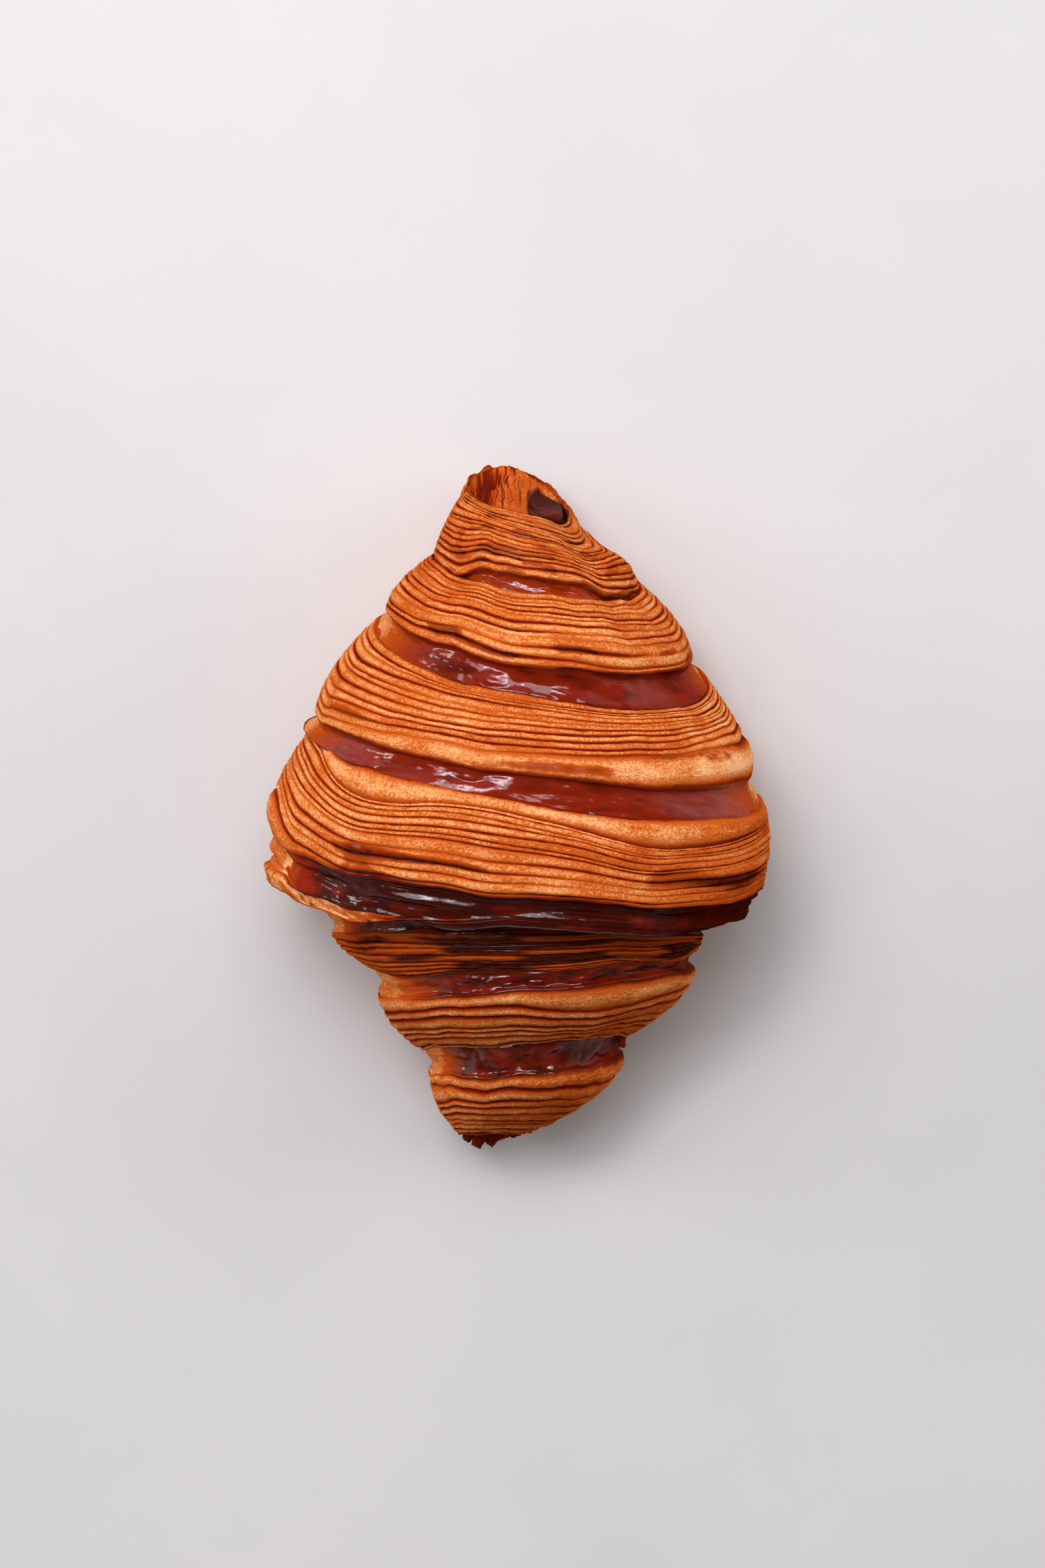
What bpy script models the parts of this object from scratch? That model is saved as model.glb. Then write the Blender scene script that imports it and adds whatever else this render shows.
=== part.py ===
"""A croissant: seven turns of laminated dough rolled into one loaf, flat underneath.

The long axis is Y, with the open tip at +Y and the dark tip at -Y. Z is up, and the origin
is the middle of the flat underside's box. Metres.
"""

import math

import bmesh
import bpy
import numpy as np

# Driving sizes, in metres. The rings below are shares of them.
LENGTH = 0.1345
WIDTH = 0.0965
HEIGHT = 0.065

SEGMENTS = 38  # columns round the roll
WIDEST_AT = 0.42  # height of a ring's widest place, as a share of its own height
UPPER_ROUND = 0.92  # exponents of a ring's outline: under 1 is plumper than an ellipse
LOWER_ROUND = 0.72
TIP_ROUND = 1.0  # the same for the underside of the two tips, which don't rest on anything
SINK = 0.05  # how far the round underside would reach below the table, as a share of HEIGHT
TIP_LIFT = 0.006  # how far the underside of the two tips stands off the table
LIFT_STARTS = 0.62  # share of half the length where that lift starts
RELIEF_FADES = 0.012  # the relief dies out this close to the table

EDGE_BULGE = 1.7  # how quickly a cut edge swells from its crease to its rim
FACE_DIP = 0.0009  # depth of the gutter along a glazed face
CREASE_DEPTH = 0.0014  # how far a crease cuts in between two turns
RIDGE = 0.00075  # height of one dough layer over the groove beside it
WIDE_LAYERS = 1.3  # how much wider the layers get from the crease to the rim
WANDER = 0.3  # how far a layer strays sideways, as a share of its own width

# Each turn of the roll, from the open tip to the dark one. A ring is (place along the axis,
# left side, right side, crest) as shares of half the length, half the width and the height,
# then its yaw and lean in metres: how far its right side, and both its sides, lie along the
# axis from its crest. "foot" is the crease where the cut edge starts, "rim" the round edge
# between the layers and the glazed face, and "heel" where the next turn covers that face.
TURNS = [
    {"layers": 9,
     "foot": (0.893, -0.218, 0.268, 0.430, -0.0042, -0.0010),
     "rim": (0.744, -0.308, 0.445, 0.570, -0.0030, 0.0009),
     "heel": (0.691, -0.325, 0.490, 0.565, -0.0030, 0.0016)},
    {"layers": 9,
     "foot": (0.680, -0.385, 0.530, 0.600, -0.0040, 0.0014),
     "rim": (0.518, -0.512, 0.690, 0.738, -0.0047, 0.0022),
     "heel": (0.422, -0.555, 0.760, 0.735, -0.0058, 0.0042)},
    {"layers": 9,
     "foot": (0.410, -0.600, 0.780, 0.770, -0.0059, 0.0042),
     "rim": (0.240, -0.792, 0.925, 0.905, -0.0059, 0.0012),
     "heel": (0.161, -0.845, 0.970, 0.900, -0.0076, 0.0016)},
    {"layers": 10,
     "foot": (0.149, -0.870, 0.975, 0.925, -0.0070, 0.0016),
     "rim": (-0.080, -0.975, 0.970, 0.995, -0.0049, 0.0008),
     "heel": (-0.175, -0.985, 0.925, 0.985, -0.0037, -0.0012)},
    {"layers": 5,
     "foot": (-0.310, -0.580, 0.720, 0.775, 0.0015, -0.0042),
     "rim": (-0.206, -0.735, 0.745, 0.855, -0.0001, -0.0067),
     "heel": (-0.190, -0.750, 0.755, 0.865, -0.0001, -0.0062)},
    {"layers": 6,
     "foot": (-0.560, -0.375, 0.460, 0.595, 0.0014, -0.0053),
     "rim": (-0.378, -0.560, 0.715, 0.790, 0.0026, -0.0044),
     "heel": (-0.322, -0.575, 0.722, 0.780, 0.0020, -0.0042)},
    {"layers": 8,
     "foot": (-0.906, -0.245, 0.070, 0.340, 0.0001, -0.0022),
     "rim": (-0.667, -0.350, 0.432, 0.597, 0.0015, -0.0031),
     "heel": (-0.572, -0.370, 0.452, 0.598, 0.0014, -0.0050)},
]
LAST_TURN = 3  # the outermost turn, whose lower edge overhangs its neighbour
MOUTH = (0.918, -0.200, 0.205, 0.405, -0.0028, -0.0016)  # the open tip's own ring, likewise

END_SHARES = (0.80, 0.50, 0.22)  # radii of the rings between a tip's mouth and its middle
MOUTH_DEPTH = 0.0020  # how far the open tip is hollowed inside its mouth
MOUTH_LEAN = 0.0085  # how far the foot of the open mouth stands ahead of its crest
DARK_BULGE = 0.0024  # how far the dark tip is rounded out
PLEATS = 7  # crumpled folds that radiate over the open tip

# The burnt leaves on the dark tip and the torn flap on the left of the last turn's lip:
# (angle, spread, how far it stands out).
DARK_LEAVES = [(math.radians(-145), math.radians(16), 0.0024),
               (math.radians(165), math.radians(10), 0.0016)]
FLAP = (math.radians(-98), math.radians(17), 0.0014)

# A layer swollen over part of its length: (turn, place across the edge, angle, spread, height).
SWELLS = [
    (2, 0.86, math.radians(55), math.radians(45), 0.0016),
    (3, 0.16, math.radians(60), math.radians(35), 0.0012),
    (3, 0.14, math.radians(-62), math.radians(16), 0.0010),
]

CRUST = ((0.62, 0.25, 0.07, 1.0), 0.42)  # colour and roughness


def ring_between(first, second, share, bulge=1.0):
    """The ring a share of the way between two. Its sides and crest lead by the bulge."""
    lead = 1 - (1 - share) ** bulge
    shares = np.array([share, lead, lead, lead, share, share])
    return np.array(first) * (1 - shares) + np.array(second) * shares


def layer_edges(layers, turn):
    """Where the grooves between the layers lie across a cut edge, from crease to rim."""
    count = np.arange(layers)
    widths = 1 + WIDE_LAYERS * (count / layers) ** 1.4 + 0.22 * np.sin(2.4 * count + turn)
    return np.concatenate([[0], np.cumsum(widths) / widths.sum()])


def rows_of_turn(number):
    """One turn's rows from foot to heel, as (ring, relief, place across the edge, wander)."""
    turn = TURNS[number]
    edges = layer_edges(turn["layers"], number)
    length = abs(turn["rim"][0] - turn["foot"][0]) * LENGTH / 2
    rows = []
    for low, high in zip(edges[:-1], edges[1:]):
        wander = WANDER * (high - low) * length
        for share, relief in ((low, 0.0), ((low + high) / 2, RIDGE)):
            ring = ring_between(turn["foot"], turn["rim"], share, EDGE_BULGE)
            rows.append((ring, relief, share, wander))
    for share in (0.0, 0.5, 1.0):
        ring = ring_between(turn["rim"], turn["heel"], share)
        rows.append((ring, -FACE_DIP * math.sin(math.pi * share), 1.0, 0.0))
    return rows


def all_rows():
    """Every row from the open tip to the dark tip, as (ring, relief, place, wander, turn)."""
    rows = [(np.array(MOUTH), 0.0, 0.0, 0.0, 0)]
    for number in range(len(TURNS)):
        own = [(*row, number) for row in rows_of_turn(number)]
        if number > LAST_TURN:
            own.reverse()
        if number > 0:
            ring = ring_between(rows[-1][0], own[0][0], 0.5)
            rows.append((ring, -CREASE_DEPTH, 0.0, 0.0, rows[-1][-1]))
        rows += own
    return rows


def smooth_step(value):
    value = np.clip(value, 0, 1)
    return value * value * (3 - 2 * value)


def bump(angles, centre, spread):
    """1 at an angle, falling to 0 a couple of spreads away on both sides."""
    apart = np.angle(np.exp(1j * (angles - centre)))
    return np.exp(-((apart / spread) ** 2))


def outline(ring, angles):
    """The points of one ring. Angle 0 is its crest, 90 degrees its right side."""
    along, left, right, crest, yaw, lean = ring
    across, up = np.sin(angles), np.cos(angles)
    middle, half = (left + right) / 2 * WIDTH / 2, (right - left) / 2 * WIDTH / 2
    tip = smooth_step((abs(along) - LIFT_STARTS) / (1 - LIFT_STARTS))
    lift = TIP_LIFT * tip
    lower_round = LOWER_ROUND + (TIP_ROUND - LOWER_ROUND) * tip
    top = crest * HEIGHT
    widest = lift + (top - lift) * WIDEST_AT
    below = widest - lift + SINK * HEIGHT * crest
    foot_first = MOUTH_LEAN * smooth_step((along - TURNS[0]["rim"][0]) / 0.16)
    x = middle + half * np.sign(across) * np.abs(across) ** UPPER_ROUND
    y = along * LENGTH / 2 + yaw * across + lean * (1 - up) + foot_first * ((1 - up) / 2) ** 2.5
    over = widest + (top - widest) * np.abs(up) ** UPPER_ROUND
    under = np.maximum(widest - below * np.abs(up) ** lower_round, lift)
    return np.stack([x, y, np.where(up >= 0, over, under)], axis=-1)


def swell(turn, place, angles):
    """How far the swollen layers push a row out."""
    out = np.zeros_like(angles)
    for number, centre, angle, spread, height in SWELLS:
        if number == turn and 0 < place < 1:
            nearness = math.exp(-(((place - centre) / 0.13) ** 2))
            out += height * nearness * bump(angles, angle, spread)
    return out


def body_grid():
    """(rows, columns, 3) points of the roll's surface, without its two ends."""
    angles = np.linspace(-math.pi, math.pi, SEGMENTS, endpoint=False)
    smooth, relief = [], []
    for index, (ring, height, place, wander, turn) in enumerate(all_rows()):
        points = outline(ring, angles)
        off_table = smooth_step(points[:, 2] / RELIEF_FADES)
        sway = np.sin(3 * angles + 0.35 * index) + 0.6 * np.sin(7 * angles + 0.6 * index)
        points[:, 1] += wander * sway * off_table * smooth_step(4 * place * (1 - place))
        flap = bump(angles, FLAP[0], FLAP[1]) * (turn == LAST_TURN and place == 1.0)
        smooth.append(points)
        relief.append((height + swell(turn, place, angles) + FLAP[2] * flap) * off_table)
    smooth, relief = np.array(smooth), np.array(relief)
    along = np.gradient(smooth, axis=0)
    round_it = np.roll(smooth, -1, axis=1) - np.roll(smooth, 1, axis=1)
    normal = np.cross(round_it, along)
    normal /= np.linalg.norm(normal, axis=2, keepdims=True)
    outward = np.sum(normal * (smooth - smooth.mean(axis=1, keepdims=True)), axis=2)
    normal *= np.sign(np.median(outward))
    return smooth + normal * relief[..., None]


def end_rings(mouth, hollow, pleats, leaves):
    """Rings that close a tip from its mouth inwards, and the middle point they close on."""
    angles = np.linspace(-math.pi, math.pi, SEGMENTS, endpoint=False)
    outward = math.copysign(1, mouth[:, 1].mean())
    middle = mouth.mean(axis=0)
    middle[1] -= outward * hollow
    rings = []
    for share in END_SHARES:
        ring = middle + (mouth - middle) * share
        depth = hollow * (1 - share) ** 2 - hollow * (1 - share)
        depth += 0.0007 * pleats * share * np.cos(PLEATS * angles)
        for angle, spread, reach in leaves:
            depth += reach * bump(angles, angle, spread) * (share == max(END_SHARES))
        ring[:, 1] += outward * depth
        rings.append(ring)
    return rings, middle


def dough_roll():
    """The whole roll: a sphere whose parallels become the rings, and its poles the tips."""
    grid = body_grid()
    first, open_end = end_rings(grid[0], MOUTH_DEPTH, 1, [])
    last, dark_end = end_rings(grid[-1], -DARK_BULGE, 0, DARK_LEAVES)
    rings = np.concatenate([np.array(first[::-1]), grid, np.array(last)])
    shape = bmesh.new()
    bmesh.ops.create_uvsphere(shape, u_segments=SEGMENTS, v_segments=len(rings) + 1, radius=1)
    for vertex in shape.verts:
        parallel = math.acos(max(-1.0, min(1.0, vertex.co.z))) / math.pi * (len(rings) + 1)
        row = round(parallel) - 1
        column = round(math.atan2(vertex.co.y, vertex.co.x) / math.tau * SEGMENTS) % SEGMENTS
        if row < 0:
            vertex.co = open_end
        elif row >= len(rings):
            vertex.co = dark_end
        else:
            vertex.co = rings[row, column]
    bmesh.ops.triangulate(shape, faces=shape.faces)
    bmesh.ops.recalc_face_normals(shape, faces=shape.faces)
    return shape


def material(name, colour, roughness):
    made = bpy.data.materials.new(name)
    made.use_nodes = True
    surface = made.node_tree.nodes["Principled BSDF"]
    surface.inputs["Base Color"].default_value = colour
    surface.inputs["Roughness"].default_value = roughness
    surface.inputs["Metallic"].default_value = 0.0
    return made


def add_object(name, shape, collection):
    mesh = bpy.data.meshes.new(name)
    shape.to_mesh(mesh)
    shape.free()
    made = bpy.data.objects.new(name, mesh)
    collection.objects.link(made)
    return made


def centre_on_box(mesh):
    """Puts the origin at the middle of the box's bottom."""
    points = np.empty(len(mesh.vertices) * 3)
    mesh.vertices.foreach_get("co", points)
    points = points.reshape(-1, 3)
    middle = (points.min(axis=0) + points.max(axis=0)) / 2
    points -= [middle[0], middle[1], points[:, 2].min()]
    mesh.vertices.foreach_set("co", points.ravel())
    mesh.update()


def main():
    for old in list(bpy.data.objects):
        bpy.data.objects.remove(old)
    collection = bpy.data.collections.new("croissant")
    bpy.context.scene.collection.children.link(collection)
    croissant = add_object("croissant", dough_roll(), collection)
    centre_on_box(croissant.data)
    croissant.data.materials.append(material("crust", *CRUST))
    croissant.data.shade_smooth()
    croissant.data.set_sharp_from_angle(angle=math.radians(50))


main()
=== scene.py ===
# %% [markdown]
# # A butter croissant, turn by turn
# A croissant is a long triangle of laminated dough rolled up from its wide side. What shows in
# the end is a stack of seven turns. Each has a striped cut edge, where the thin layers of dough
# stand side by side, and a smooth face that was brushed with egg and baked dark and glossy.
# The solid model gives the size and the place of every turn. This file gives them their skin.

import math

import bpy
import numpy as np
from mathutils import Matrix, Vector


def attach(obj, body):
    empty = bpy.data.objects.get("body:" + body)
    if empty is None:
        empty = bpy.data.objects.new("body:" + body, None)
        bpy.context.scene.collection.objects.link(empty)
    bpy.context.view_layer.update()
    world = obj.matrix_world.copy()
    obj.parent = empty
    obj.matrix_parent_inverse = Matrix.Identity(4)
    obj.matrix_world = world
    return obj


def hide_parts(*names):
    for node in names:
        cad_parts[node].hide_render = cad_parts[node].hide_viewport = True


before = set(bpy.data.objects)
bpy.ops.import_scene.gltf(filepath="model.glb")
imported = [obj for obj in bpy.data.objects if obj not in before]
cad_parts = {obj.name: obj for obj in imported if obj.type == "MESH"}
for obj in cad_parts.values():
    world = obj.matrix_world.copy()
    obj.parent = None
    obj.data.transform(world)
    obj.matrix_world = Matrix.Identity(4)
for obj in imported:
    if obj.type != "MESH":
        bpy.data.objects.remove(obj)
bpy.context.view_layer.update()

# %% [markdown]
# ## The turns of the roll
# A turn is set by three rings: the crease at its foot, its rim, and the heel that the next
# turn covers. A curve object could draw a ring, but a row of numbers is easier to tune: its
# place along the roll, its left side, right side and crest as shares of the loaf's size, then
# in metres the yaw, which carries its right side along the roll, and the lean, for both sides.

# %% Rings of the seven turns
LENGTH = 0.1345
WIDTH = 0.0965
HEIGHT = 0.065
MM = 0.001

TURNS = [dict(zip(("layers", "foot", "rim", "heel"), turn)) for turn in (
    (14, (0.868, -0.218, 0.268, 0.430, -0.0042, -0.0004),
     (0.744, -0.308, 0.445, 0.570, -0.0030, 0.0009),
     (0.691, -0.325, 0.490, 0.565, -0.0030, 0.0016)),
    (11, (0.680, -0.385, 0.530, 0.600, -0.0040, 0.0014),
     (0.518, -0.512, 0.690, 0.738, -0.0047, 0.0022),
     (0.422, -0.555, 0.760, 0.735, -0.0058, 0.0042)),
    (11, (0.410, -0.600, 0.780, 0.770, -0.0059, 0.0042),
     (0.240, -0.792, 0.925, 0.905, -0.0059, 0.0012),
     (0.161, -0.845, 0.970, 0.900, -0.0076, 0.0016)),
    (12, (0.149, -0.870, 0.975, 0.925, -0.0070, 0.0016),
     (-0.080, -0.975, 0.970, 0.995, -0.0049, 0.0008),
     (-0.175, -0.985, 0.925, 0.985, -0.0037, -0.0012)),
    (8, (-0.310, -0.580, 0.720, 0.775, 0.0015, -0.0042),
     (-0.206, -0.735, 0.745, 0.855, -0.0001, -0.0067),
     (-0.120, -0.790, 0.775, 0.885, -0.0001, -0.0050)),
    (7, (-0.560, -0.375, 0.460, 0.595, 0.0014, -0.0053),
     (-0.378, -0.560, 0.715, 0.790, 0.0026, -0.0044),
     (-0.322, -0.575, 0.722, 0.780, 0.0020, -0.0042)),
    (8, (-0.906, -0.245, 0.070, 0.340, 0.0001, -0.0022),
     (-0.667, -0.350, 0.432, 0.597, 0.0015, -0.0031),
     (-0.572, -0.370, 0.452, 0.598, 0.0014, -0.0050)),
)]
LAST_TURN = 3  # the outermost turn, with the lip
MOUTH = (0.907, -0.200, 0.205, 0.405, -0.0028, -0.0003)
print(len(TURNS), "turns with", sum(turn["layers"] for turn in TURNS), "layers in sight")

# %% [markdown]
# ## Camera, light and table
# The croissant is seen from above, tipped ten degrees towards its open tip, through a long
# lens. A soft lamp with a bright middle stands beyond the open tip like a window. The glaze
# mirrors it, and a small lamp on the left. Broad daylight from above and a lamp on the right
# only fill the shade, and are kept out of the glaze.

# %% Camera above the croissant
CAMERA_DISTANCE = 0.709
CAMERA_TILT = math.radians(10)
LOOK_AT = Vector((1.25, 8.9, 25)) * MM

camera_data = bpy.data.cameras.new("camera")
camera_data.lens = 85
camera_data.sensor_width = 36
camera_data.clip_start = 0.01
camera = bpy.data.objects.new("camera", camera_data)
bpy.context.scene.collection.objects.link(camera)
towards_camera = Vector((0, math.sin(CAMERA_TILT), math.cos(CAMERA_TILT)))
camera.location = LOOK_AT + towards_camera * CAMERA_DISTANCE
camera.rotation_euler = (-CAMERA_TILT, 0, 0)
bpy.context.scene.camera = camera
print("camera stands at", [round(value, 3) for value in camera.location])


# %% Soft window light and side fills
def add_lamp(name, place, power, size, colour, in_glaze=True):
    """A soft lamp of a width and height, which may be kept out of the glaze."""
    bpy.ops.object.light_add(type="AREA", location=place)
    lamp = bpy.context.object
    lamp.name = name
    lamp.data.shape = "RECTANGLE"
    lamp.data.size, lamp.data.size_y = size
    lamp.data.energy = power
    lamp.data.color = colour
    lamp.visible_glossy = in_glaze
    lamp.rotation_euler = (Vector(place) * -1).to_track_quat("-Z", "Y").to_euler()


add_lamp("window", (-0.20, 0.62, 1.05), 10.0, (1.15, 0.55), (0.94, 0.93, 1.0))
add_lamp("window_middle", (-0.24, 0.64, 1.04), 3.8, (0.40, 0.18), (0.94, 0.93, 1.0))
add_lamp("daylight", (-0.30, 0.50, 1.45), 6.3, (2.4, 1.6), (0.98, 0.97, 0.98), in_glaze=False)
add_lamp("left", (-1.40, 0.45, 0.50), 5.6, (0.5, 0.35), (1.0, 0.98, 0.96))
add_lamp("right", (1.40, 0.60, 0.55), 7.0, (0.9, 0.7), (1.0, 0.98, 0.97), in_glaze=False)
bpy.context.scene.view_settings.view_transform = "Standard"

# %% Pale table
bpy.ops.mesh.primitive_plane_add(size=6)
table_top = bpy.context.object
table_top.name = "table_top"

# %% [markdown]
# ## The shape of a ring
# The loaf is flat underneath, plump above and widest a little under half its height. One
# formula bends a circle into that shape, so a ring needs no points of its own. Angle 0 is the
# crest and a quarter turn is the right side.

# %% Ring formula
WIDEST_AT = 0.42
UPPER_ROUND = 0.92
LOWER_ROUND = 0.72
TIP_ROUND = 1.0
SINK = 0.05
TIP_LIFT = 6 * MM
LIFT_STARTS = 0.62
MOUTH_LEAN = 7.0 * MM  # how far the foot of the open tip stands out
LEAN_GROWS = 0.16  # over which share of the half length it starts to
LEAN_BEND = 2.5
EVEN_VALUES = (0, 4, 5)  # a ring's place along the roll, its yaw and its lean


def ease(value):
    """A smooth step from 0 to 1."""
    value = np.clip(value, 0, 1)
    return value * value * (3 - 2 * value)


def ring_points(ring, angles):
    """Points of a ring, or of a stack of them where the ring's values are arrays."""
    along, left, right, crest, yaw, lean = ring
    across, up = np.sin(angles), np.cos(angles)
    middle, half = (left + right) * WIDTH / 4, (right - left) * WIDTH / 4
    tip = ease((np.abs(along) - LIFT_STARTS) / (1 - LIFT_STARTS))
    lift = TIP_LIFT * tip
    lower_round = LOWER_ROUND + (TIP_ROUND - LOWER_ROUND) * tip
    top = crest * HEIGHT
    widest = lift + (top - lift) * WIDEST_AT
    below = widest - lift + SINK * HEIGHT * crest
    foot_first = MOUTH_LEAN * ease((along - TURNS[0]["rim"][0]) / LEAN_GROWS)
    x = middle + half * np.sign(across) * np.abs(across) ** UPPER_ROUND
    y = along * LENGTH / 2 + yaw * across + lean * (1 - up)
    y = y + foot_first * ((1 - up) / 2) ** LEAN_BEND
    over = widest + (top - widest) * np.abs(up) ** UPPER_ROUND
    under = np.maximum(widest - below * np.abs(up) ** lower_round, lift)
    return np.stack([x, y, np.where(up >= 0, over, under)], axis=-1)


def ring_between(first, second, share, bulge=1.0):
    """The ring a share of the way between two. The bulge lets its sides and crest lead."""
    lead = 1 - (1 - share) ** bulge
    return [a + (b - a) * (share if i in EVEN_VALUES else lead)
            for i, (a, b) in enumerate(zip(first, second))]

# %% [markdown]
# ## Unevenness that can be repeated
# Baked dough is never regular: layers wander and squeeze their neighbours, and the glaze
# puckers. All of that comes from lattices of random numbers with smooth values in between,
# which close round the roll. Their seeds are fixed, so every run gives the same loaf.

# %% Smooth random patches
COLUMNS = 420
TOP_DENSITY = 0.42  # how much closer the columns stand on top


def column_angles():
    turn = np.linspace(-1, 1, COLUMNS, endpoint=False)
    return math.pi * turn - TOP_DENSITY * np.sin(math.pi * turn)


ANGLES = column_angles()
AROUND = ANGLES / math.tau + 0.5
DEGREES = np.degrees(ANGLES)


def patches(across, cells, seed, around=AROUND):
    """Random values from -1 to 1 that change smoothly across a turn and round it."""
    around, across = np.broadcast_arrays(around, across)
    count, rows = cells
    lattice = np.random.default_rng(seed).uniform(-1, 1, (rows + 2, count))
    x, y = around * count, np.clip(across, 0, 1) * rows
    column, row = np.floor(x).astype(int), np.floor(y).astype(int)
    fx, fy = ease(x - column), ease(y - row)
    here, after = column % count, (column + 1) % count
    low = lattice[row, here] * (1 - fx) + lattice[row, after] * fx
    high = lattice[row + 1, here] * (1 - fx) + lattice[row + 1, after] * fx
    return low * (1 - fy) + high * fy


def bump(centre, spread):
    """1 at an angle, and almost 0 two spreads away, in degrees."""
    apart = np.angle(np.exp(1j * (ANGLES - math.radians(centre))))
    return np.exp(-((apart / math.radians(spread)) ** 2))


def between(start, full, thins, gone):
    """Grows between the first two angles and falls between the last two."""
    return (ease((DEGREES - start) / (full - start))
            * ease((gone - DEGREES) / (gone - thins)))


def on_sides(start, over):
    """0 on top, rising to 1 on both sides from an angle on."""
    return ease((np.abs(DEGREES) - start) / over)


print(COLUMNS, "columns round the roll")

# %% [markdown]
# ## Layers of the cut edge
# The rows of the mesh follow the layers: six rows to a layer, from groove to groove, so every
# groove is crisp without a very fine mesh. Extrude and bevel would make straight, equal layers.
# Here a layer's width changes along its length, and in some named places it swells to several
# times its width and pushes the others together.

# %% Widths of the layers
WIDE_LAYERS = 1.3  # how much wider they get towards the rim
# (strength, cells round the roll, cells across each layer, seed)
WIDTH_PATCHES = [(0.40, 7, 1, 0), (0.13, 21, 2, 1), (0.04, 50, 2, 4)]
# (turn, layer from the crease, angle, spread, how many times wider)
WIDE_PLACES = [
    (0, 1, -20, 50, 0.5), (1, 9, 35, 45, 1.0), (1, 10, -40, 50, 0.8), (2, 10, 56, 44, 5.5),
    (2, 10, -20, 30, 0.8), (2, 9, 75, 30, 0.8), (3, 0, -40, 18, 4.5), (3, 0, 42, 32, 6.0),
    (3, 11, -85, 16, 2.5), (5, 6, 35, 50, 1.2), (6, 7, 20, 60, 0.7),
]


def layer_edges(number, layers, seed):
    """Where the grooves lie across the cut edge, from 0 at the crease to 1 at the rim."""
    count = np.arange(layers)[:, None]
    widths = 1 + WIDE_LAYERS * (count / layers) ** 1.4 + 0.42 * np.sin(2.4 * count + number)
    for strength, cells, finer, more in WIDTH_PATCHES:
        widths = widths * np.exp(strength * patches(count / layers,
                                                    (cells, finer * layers), seed + more))
    for turn, layer, angle, spread, times in WIDE_PLACES:
        if turn == number and layer < layers:
            widths[layer] *= 1 + times * bump(angle, spread)
    edges = np.vstack([np.zeros(COLUMNS), np.cumsum(widths, axis=0)])
    return edges / edges[-1]


print("grooves of turn 4:", np.round(layer_edges(3, 12, 40)[:, 0], 2))

# %% [markdown]
# ## One turn as a sheet of rows
# A turn is a stack of rows: rings, how far each point stands out from the smooth loaf, and
# what the colours need to know. One sheet, closed round the roll, leaves no seams.

# %% Rows of a cut edge
LAYER_ROWS = (0.0, 0.10, 0.28, 0.55, 0.80, 0.92)
EDGE_BULGE = 1.7
LAYER_RELIEF = 0.30 * MM
GROOVE_CUT = 0.14 * MM
CLOSED_GROOVE = 0.75  # of a layer's height, where a groove is closed
SWELL = 0.16 * MM  # how far a place stands out, for each time it is wider
ROUGH = (0.07, 0.05)  # millimetres, and more for each time a place is wider
FLAT_TOPS = 0.50  # the lower, the flatter the layers are on top
ROUND_TOPS = 0.90  # below the last turn
# turn: how deep and how dark its grooves are
GROOVES = {0: (1.25, 1.35), 1: (0.88, 1.5), 2: (0.92, 1.5), 3: (0.95, 1.15)}
OTHER_GROOVES = (1.25, 1)
# turn: cells of the patches of wash on its layers, how rare they are, where they begin, and
# the most wash they hold
SPILLS = {0: ((36, 11), 0.10, -0.2, 0.55), 3: ((15, 7), 0.30, 0.3, 0.8),
          4: ((15, 7), -0.35, -0.3, 0.8), 5: ((15, 7), 0.8, 0.3, 0.55),
          6: ((15, 7), 0.8, 0.3, 0.55)}
OTHER_SPILLS = ((15, 7), 0.30, 0.3, 0.55)
POINT_VALUES = ("groove", "tint", "glaze", "across", "char")


def make_row(ring, **given):
    """A row of the sheet. Values that aren't given are 0."""
    zeros = np.zeros(COLUMNS)
    row = {title: zeros + given.get(title, 0) for title in ("relief", *POINT_VALUES)}
    return {"ring": [zeros + value for value in ring], **row}


def times_wider(number, layer):
    return sum(times * bump(angle, spread)
               for turn, wide, angle, spread, times in WIDE_PLACES
               if turn == number and wide == layer)


def spilled_wash(number, place, seed):
    """Patches of egg wash that ran over the layers, and the wash along their rim."""
    cells, rare, begins, most = SPILLS.get(number, OTHER_SPILLS)
    spill = np.clip(1.6 * (patches(place, cells, seed) - rare), 0, most)
    rim = 0.42 * ease((place - 0.90) / 0.10)
    return spill * ease((place - begins) / 0.5) + rim


def cut_edge_rows(number, foot, rim, layers, seed, relief=LAYER_RELIEF, bulge=EDGE_BULGE):
    """Rows of all the layers, from the crease at their foot to the rim."""
    edges = layer_edges(number, layers, seed)
    rng = np.random.default_rng(seed + 2)
    deep, dark = GROOVES.get(number, OTHER_GROOVES)
    tops = FLAT_TOPS if number <= LAST_TURN else ROUND_TOPS
    counts = np.arange(layers + 1)[:, None] / layers
    depth = deep + 0.60 * patches(counts, (9, layers), seed + 3)
    depth = np.clip(depth, 0.2, 1.35)
    rows = []
    for layer in range(layers):
        low, high = edges[layer], edges[layer + 1]
        height = relief * np.clip((high - low) * layers, 0.3, 1.6) ** 0.5
        tint = rng.uniform(-1, 1) + 0.5 * patches(0, (13, 1), seed + 20 + layer)
        wider = times_wider(number, layer)
        for share in LAYER_ROWS:
            place = low + share * (high - low)
            side = depth[layer] if share < 0.5 else depth[layer + 1]
            pillow = math.sin(math.pi * share) ** tops
            rough = (ROUGH[0] + ROUGH[1] * wider) * MM
            # the groove value darkens each layer towards its edges: partly browner crust,
            # partly painted shade in the gaps between layers
            rows.append(make_row(
                ring_between(foot, rim, place, bulge), tint=tint, across=place,
                relief=(height * (pillow * side + CLOSED_GROOVE * (1 - side))
                        + wider * SWELL * math.sin(math.pi * share)
                        + rough * patches(place, (120, 40), seed + 8)
                        - GROOVE_CUT * max(0, 1 - 2 * pillow) * side),
                groove=min(dark * (1 - pillow), 1) * side,
                glaze=spilled_wash(number, place, seed + 30)))
    return rows

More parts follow.
